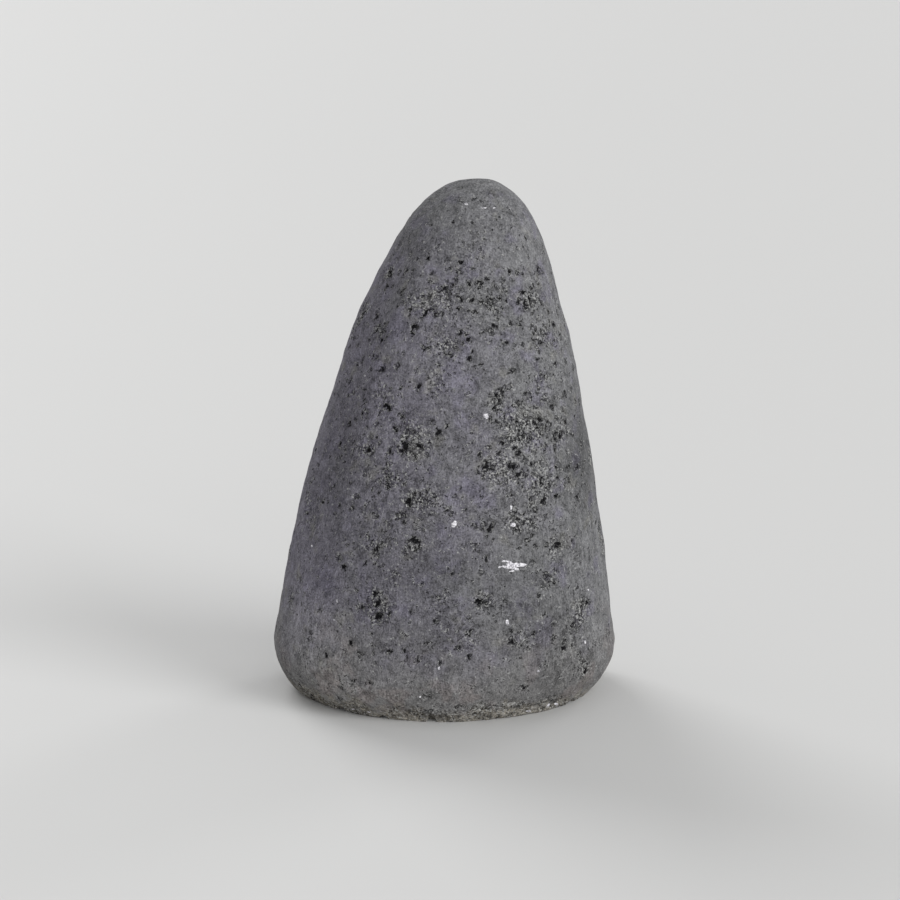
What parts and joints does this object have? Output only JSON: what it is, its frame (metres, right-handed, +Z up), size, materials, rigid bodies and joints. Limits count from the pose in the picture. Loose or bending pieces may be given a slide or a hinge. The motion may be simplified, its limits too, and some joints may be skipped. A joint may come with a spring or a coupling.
{
  "type": "amethyst geode",
  "caption": "Standing geode half: a dark stone shell with a rounded back and a flat sawn base, its open front lined with six-sided purple crystals.",
  "frame": {"origin": "under the middle of the whole stone's box, on the plane that it stands on", "axes": "+Z up, -Y out of the open sawn front, +Y out of the rounded back, the top leans towards -X"},
  "size_m": [0.1268, 0.0868, 0.1887],
  "materials": {
    "dark_stone": "matte, pitted and rough, dark grey",
    "amethyst": "clear violet quartz with glossy crystal faces"
  },
  "bodies": {
    "root": {"stone_shell": "dark_stone", "amethyst_crystals": "amethyst"}
  },
  "joints": []
}
